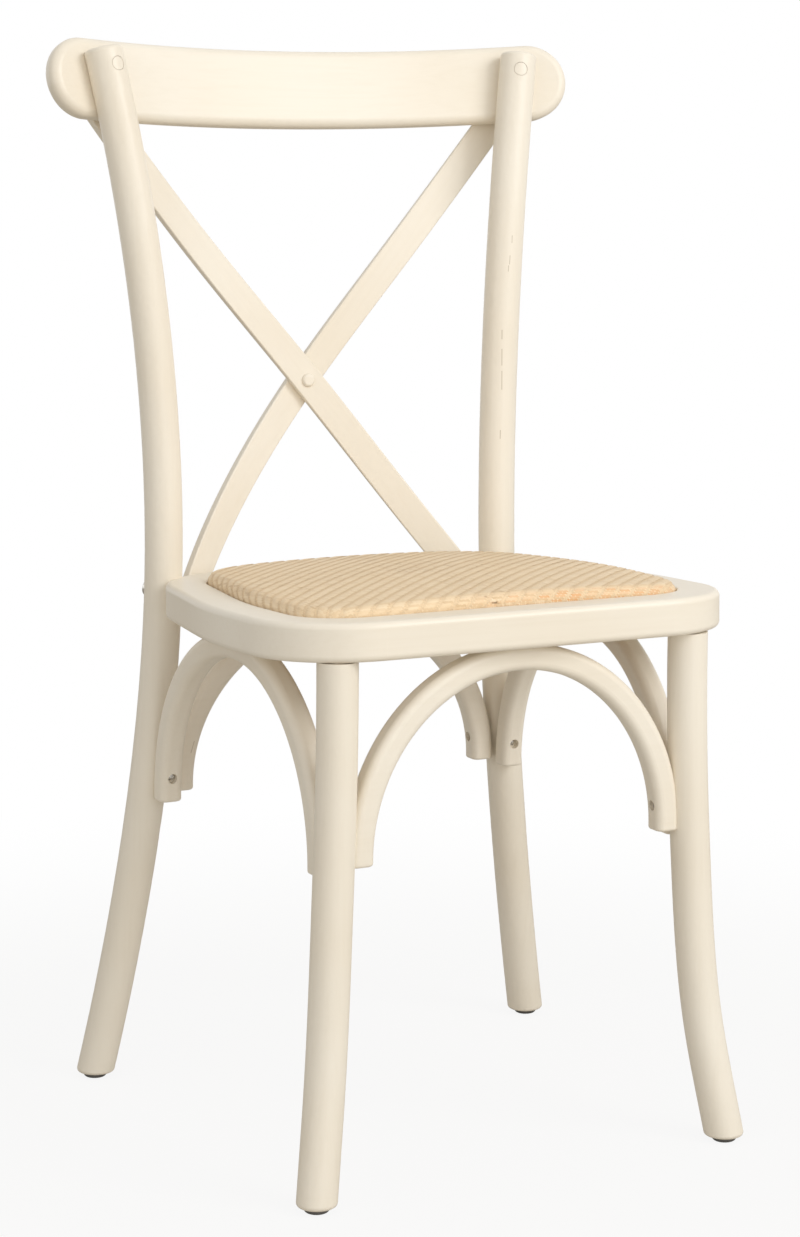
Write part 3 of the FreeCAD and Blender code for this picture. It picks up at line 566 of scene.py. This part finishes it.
def fastenerTree(name, crossed):
    tree = bpy.data.node_groups.new(name, "GeometryNodeTree")
    sockets = (("Geometry", "NodeSocketGeometry"), ("Head Radius", "NodeSocketFloat"),
               ("Head Height", "NodeSocketFloat"), ("Shank Radius", "NodeSocketFloat"),
               ("Shank Length", "NodeSocketFloat"), ("Edge", "NodeSocketFloat"), ("Finish", "NodeSocketMaterial"))
    for label, kind in sockets:
        tree.interface.new_socket(name=label, in_out="INPUT", socket_type=kind)
    tree.interface.new_socket(name="Geometry", in_out="OUTPUT", socket_type="NodeSocketGeometry")
    given = addNode(tree, "NodeGroupInput").outputs
    top = given["Head Height"]

    def raised(shape, height, scale=(1.0, 1.0, 1.0), turn=0.0):
        shift = addNode(tree, "ShaderNodeCombineXYZ", {2: height}).outputs[0]
        return addNode(tree, "GeometryNodeTransform", {"Geometry": shape, "Translation": shift, "Scale": scale,
                                                       "Rotation": (0.0, 0.0, turn)}).outputs[0]

    def boxed(size, height, turn):
        return raised(addNode(tree, "GeometryNodeMeshCube", {"Size": size}).outputs[0], height, turn=turn)

    # The head stands on the seat, its axis along Z, and the shank runs down from it
    if crossed:
        wall = calc(tree, "MULTIPLY", top, 1.0 - fastener["domeShare"])
        drum = addNode(tree, "GeometryNodeMeshCylinder", {"Vertices": fastener["segments"],
                                                          "Radius": given["Head Radius"], "Depth": wall}).outputs[0]
        dome = addNode(tree, "GeometryNodeMeshUVSphere", {"Segments": fastener["segments"], "Rings": 12,
                                                          "Radius": given["Head Radius"]}).outputs[0]
        flatness = calc(tree, "DIVIDE", calc(tree, "MULTIPLY", top, fastener["domeShare"]), given["Head Radius"])
        squash = addNode(tree, "ShaderNodeCombineXYZ", {0: 1.0, 1: 1.0, 2: flatness}).outputs[0]
        solids = [raised(drum, calc(tree, "MULTIPLY", wall, 0.5)), raised(dome, wall, squash)]
        depth = fastener["slotDepth"]
        slots = [boxed((fastener["slotLength"], fastener["slotWidth"], 2 * depth), top, turn)
                 for turn in (0.0, math.pi / 2)]
    else:
        wall = calc(tree, "SUBTRACT", top, given["Edge"])
        drum = addNode(tree, "GeometryNodeMeshCylinder", {"Vertices": fastener["segments"],
                                                          "Radius": given["Head Radius"], "Depth": wall}).outputs[0]
        slope = addNode(tree, "GeometryNodeMeshCone",
                        {"Vertices": fastener["segments"], "Depth": given["Edge"],
                         "Radius Top": calc(tree, "SUBTRACT", given["Head Radius"], given["Edge"]),
                         "Radius Bottom": given["Head Radius"]}).outputs[0]
        solids = [raised(drum, calc(tree, "MULTIPLY", wall, 0.5)), raised(slope, wall)]
        hexagon = addNode(tree, "GeometryNodeMeshCylinder", {"Vertices": 6, "Radius": fastener["hexRadius"],
                                                             "Depth": 2 * fastener["hexDepth"]}).outputs[0]
        slots = [raised(hexagon, top)]
    shank = addNode(tree, "GeometryNodeMeshCylinder",
                    {"Vertices": 12, "Radius": given["Shank Radius"], "Depth": given["Shank Length"]}).outputs[0]
    solids.append(raised(shank, calc(tree, "MULTIPLY", given["Shank Length"], -0.499)))
    whole = addNode(tree, "GeometryNodeMeshBoolean", operation="UNION", solver="EXACT")
    for solid in solids:
        tree.links.new(solid, whole.inputs["Mesh 2"])
    holed = addNode(tree, "GeometryNodeMeshBoolean", {"Mesh 1": whole.outputs[0]},
                    operation="DIFFERENCE", solver="EXACT")
    for slot in slots:
        tree.links.new(slot, holed.inputs["Mesh 2"])

    # One on each point, its axis along the point's own direction and turned by chance
    headward = addNode(tree, "GeometryNodeInputNamedAttribute", {"Name": "headward"},
                       data_type="FLOAT_VECTOR").outputs[0]
    aligned = addNode(tree, "FunctionNodeAlignRotationToVector", {"Vector": headward}, axis="Z").outputs[0]
    chance = addNode(tree, "FunctionNodeRandomValue", {"Seed": fastener["seed"]}, data_type="FLOAT").outputs[1]
    spin = addNode(tree, "ShaderNodeCombineXYZ", {2: calc(tree, "MULTIPLY", chance, 2 * math.pi)}).outputs[0]
    spun = addNode(tree, "FunctionNodeRotateRotation",
                   {"Rotation": aligned, "Rotate By": addNode(tree, "FunctionNodeEulerToRotation", {0: spin}).outputs[0]},
                   rotation_space="LOCAL").outputs[0]
    placed = addNode(tree, "GeometryNodeInstanceOnPoints",
                     {"Points": given["Geometry"], "Instance": holed.outputs[0], "Rotation": spun}).outputs[0]
    solid = addNode(tree, "GeometryNodeRealizeInstances", {"Geometry": placed}).outputs[0]
    painted = addNode(tree, "GeometryNodeSetMaterial", {"Geometry": solid, "Material": given["Finish"]}).outputs[0]
    addNode(tree, "NodeGroupOutput", {"Geometry": painted})
    return tree


def looseParts(nodeName):
    # The node's separate solids as lists of points, from a merged copy of its mesh
    bm = bmesh.new()
    bm.from_mesh(nodes[nodeName].data)
    bmesh.ops.remove_doubles(bm, verts=bm.verts, dist=1e-6)
    parts = []
    left = set(bm.verts)
    while left:
        todo = [left.pop()]
        found = []
        while todo:
            vertex = todo.pop()
            found.append(vertex.co.copy())
            for edge in vertex.link_edges:
                other = edge.other_vert(vertex)
                if other in left:
                    left.remove(other)
                    todo.append(other)
        parts.append(found)
    bm.free()
    return parts


def partAxis(points, shankRadius):
    # Middle of the head's top, middle of the far end, for a round part with a wide head
    middle = sum(points, Vector()) / len(points)
    far = max(points, key=lambda point: (point - middle).length)
    other = max(points, key=lambda point: (point - far).length)
    line = (far - other).normalized()
    for _ in range(4):
        steps = [point.dot(line) for point in points]
        low, high = min(steps), max(steps)
        ends = []
        for limit in (low, high):
            ring = [point for point, step in zip(points, steps) if abs(step - limit) < fastener["endSlack"] * 6]
            ends.append(ring)
        centres = [sum(ring, Vector()) / len(ring) for ring in ends]
        line = (centres[1] - centres[0]).normalized()
    spreads = [max((point - centre).length for point in ring) for ring, centre in zip(ends, centres)]
    if spreads[0] > spreads[1]:
        centres.reverse()
    return centres[1], centres[0]


def addFasteners(name, nodeName, tree, head, shankRadius):
    tops, tips = zip(*[partAxis(points, shankRadius) for points in looseParts(nodeName)])
    mesh = bpy.data.meshes.new(name)
    seats = [top + (tip - top).normalized() * head[1] for top, tip in zip(tops, tips)]
    mesh.from_pydata([tuple(seat) for seat in seats], [], [])
    headward = mesh.attributes.new("headward", "FLOAT_VECTOR", "POINT")
    for index, (top, tip) in enumerate(zip(tops, tips)):
        headward.data[index].vector = (top - tip).normalized()
    piece = bpy.data.objects.new(name, mesh)
    collection.objects.link(piece)
    length = max((seat - tip).length for seat, tip in zip(seats, tips))
    runTree(piece, tree, {"Head Radius": head[0], "Head Height": head[1], "Shank Radius": shankRadius,
                          "Shank Length": length, "Edge": fastener["edge"], "Finish": zincFinish})
    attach(piece, "root")
    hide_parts(nodeName)
    print(name, len(seats), "pieces")


crossTree = fastenerTree("crossHeadScrew", True)
hexTree = fastenerTree("hexSocketHead", False)
for name, nodeName in (("frontArchScrews", "front_arch_screws"), ("rearArchScrews", "rear_arch_screws"),
                       ("leftArchScrews", "left_arch_screws"), ("rightArchScrews", "right_arch_screws"),
                       ("slatTopScrews", "slat_top_screws"), ("slatFootScrews", "slat_foot_screws"),
                       ("boardScrews", "board_screws")):
    addFasteners(name, nodeName, crossTree, fastener["screwHead"], fastener["screwShank"])
for name, nodeName in (("seatBoltLeft", "seat_bolt_left"), ("seatBoltRight", "seat_bolt_right")):
    addFasteners(name, nodeName, hexTree, fastener["boltHead"], fastener["boltShank"])
addFasteners("crestNuts", "crest_nuts", hexTree, fastener["nutHead"], fastener["nutShank"])


# Studio: pale floor, soft light, the photograph's camera
studio = {
    "floorSize": 9.0, "floorColour": (0.56, 0.53, 0.48),
    "keyPower": 40.0, "keySize": 1.4, "keyPlace": (1.35, -2.3, 2.1),
    "frontPower": 19.0, "frontSize": 2.0, "frontPlace": (0.1, -3.2, 0.9),
    "topPower": 4.0, "topSize": 2.2, "topPlace": (-0.1, 0.1, 2.7),
    "fillPower": 9.0, "fillSize": 1.8, "fillPlace": (-2.3, -1.2, 1.2),
    "worldStrength": 0.51, "worldColour": (1.0, 0.985, 0.955),
    "shadowNear": 0.35, "shadowFar": 1.15, "shadowShare": 0.10,
}


def areaLamp(name, power, size, place, target):
    lamp = bpy.data.lights.new(name, "AREA")
    lamp.energy = power
    lamp.size = size
    holder = bpy.data.objects.new(name, lamp)
    holder.location = place
    holder.rotation_euler = (Vector(target) - Vector(place)).to_track_quat("-Z", "Y").to_euler()
    collection.objects.link(holder)
    return holder


middle = (0.0, 0.0, 0.45)
areaLamp("keyLamp", studio["keyPower"], studio["keySize"], studio["keyPlace"], middle)
areaLamp("topLamp", studio["topPower"], studio["topSize"], studio["topPlace"], middle)
areaLamp("fillLamp", studio["fillPower"], studio["fillSize"], studio["fillPlace"], middle)
areaLamp("frontLamp", studio["frontPower"], studio["frontSize"], studio["frontPlace"], middle)

world = bpy.data.worlds.new("studioWorld")
bpy.context.scene.world = world
world.use_nodes = True
worldTree = world.node_tree
background = worldTree.nodes["Background"]
rays = addNode(worldTree, "ShaderNodeLightPath").outputs
seen = calc(worldTree, "MAXIMUM", rays["Is Camera Ray"],
            calc(worldTree, "MAXIMUM", rays["Is Glossy Ray"], rays["Is Transmission Ray"]))
worldTree.links.new(calc(worldTree, "MULTIPLY_ADD", seen, 1.0 - studio["worldStrength"], studio["worldStrength"]),
                    background.inputs["Strength"])
tint = mixColour(worldTree, seen, studio["worldColour"], (1.0, 1.0, 1.0))
worldTree.links.new(tint, background.inputs["Color"])

floorMesh = bpy.data.meshes.new("studioFloor")
half = studio["floorSize"] / 2
floorMesh.from_pydata([(-half, -half, 0), (half, -half, 0), (half, half, 0), (-half, half, 0)], [], [(0, 1, 2, 3)])
studioFloor = bpy.data.objects.new("studioFloor", floorMesh)
collection.objects.link(studioFloor)
floorFinish, floorTree, floorShader = newFinish("paleFloor", 0.9, 0.1)
floorShader.inputs["Base Color"].default_value = (*studio["floorColour"], 1.0)
glow = addNode(floorTree, "ShaderNodeEmission", {"Color": (1, 1, 1, 1), "Strength": 1.0}).outputs[0]
floorRays = addNode(floorTree, "ShaderNodeLightPath").outputs
spread = calcVector(floorTree, "LENGTH", addNode(floorTree, "ShaderNodeTexCoord").outputs["Object"])
spread = spread.node.outputs["Value"]
fade = addNode(floorTree, "ShaderNodeMapRange",
               {"Value": spread, "From Min": studio["shadowNear"], "From Max": studio["shadowFar"],
                "To Min": 1.0 - studio["shadowShare"], "To Max": 1.0}, interpolation_type="SMOOTHSTEP").outputs[0]
white = calc(floorTree, "MULTIPLY", floorRays["Is Camera Ray"], fade)
blended = addNode(floorTree, "ShaderNodeMixShader", {0: white, 1: floorShader.outputs[0], 2: glow}).outputs[0]
floorTree.links.new(blended, floorTree.nodes["Material Output"].inputs["Surface"])
floorMesh.materials.append(floorFinish)

view = {
    "place": (-1.1090, -2.1636, 0.8096), "yaw": 27.008, "pitch": 9.194, "roll": 0.181,
    "lens": 86.33, "shiftX": 0.0005, "shiftY": -0.0028,
}
cameraData = bpy.data.cameras.new("photoCamera")
cameraData.lens = view["lens"]
cameraData.sensor_width = 36.0
cameraData.shift_x = view["shiftX"]
cameraData.shift_y = view["shiftY"]
cameraData.dof.use_dof = False
camera = bpy.data.objects.new("photoCamera", cameraData)
turned = (Matrix.Rotation(math.radians(-view["yaw"]), 4, "Z")
          @ Matrix.Rotation(math.radians(90 - view["pitch"]), 4, "X")
          @ Matrix.Rotation(math.radians(view["roll"]), 4, "Z"))
camera.matrix_world = Matrix.Translation(view["place"]) @ turned
collection.objects.link(camera)
bpy.context.scene.camera = camera
bpy.context.scene.view_settings.view_transform = "Standard"
print("studio ready")
